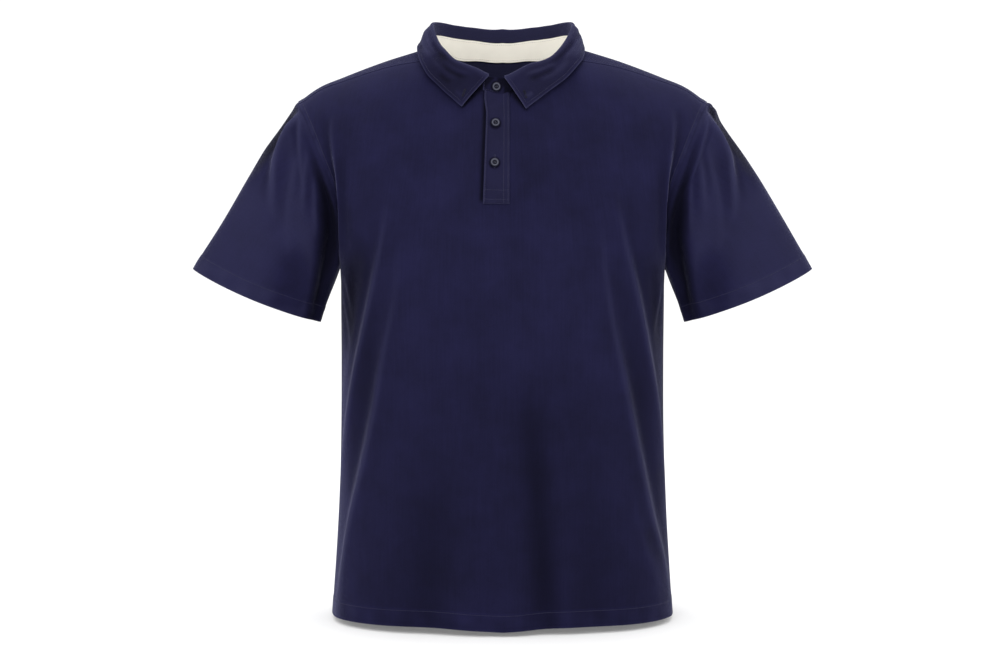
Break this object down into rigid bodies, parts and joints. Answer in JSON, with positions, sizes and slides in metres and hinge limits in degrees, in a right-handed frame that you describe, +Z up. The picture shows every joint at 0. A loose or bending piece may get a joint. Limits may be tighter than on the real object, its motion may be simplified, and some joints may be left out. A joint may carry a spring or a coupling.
{
  "type": "short-sleeved polo shirt",
  "caption": "Short-sleeved polo shirt with a turned-down collar on a stand and a buttoned placket, filled out as worn and open at neck, cuffs and hem.",
  "frame": {"origin": "middle of the neck opening, level with the tops of the shoulders at the sides of the neck, where the wearer carries the shirt", "axes": "+Z up the shirt, +X towards the wearer's left sleeve, -Y towards the chest and the placket"},
  "size_m": [0.804, 0.2725, 0.7677],
  "materials": {
    "navy_jersey": "matte cotton jersey, garment dyed, slightly paler along its seams",
    "navy_collar": "matte cotton, a firmer double cloth with edge stitching",
    "cream_band": "matte off-white woven band",
    "navy_button": "satin"
  },
  "bodies": {
    "root": {"front": "navy_jersey", "back": "navy_jersey", "sleeve_left": "navy_jersey", "sleeve_right": "navy_jersey", "collar_stand": "navy_collar", "collar_leaf": "navy_collar", "neck_band": "cream_band", "placket_under": "navy_collar", "placket_top": "navy_collar", "button_1": "navy_button", "button_2": "navy_button", "button_3": "navy_button"}
  },
  "joints": []
}
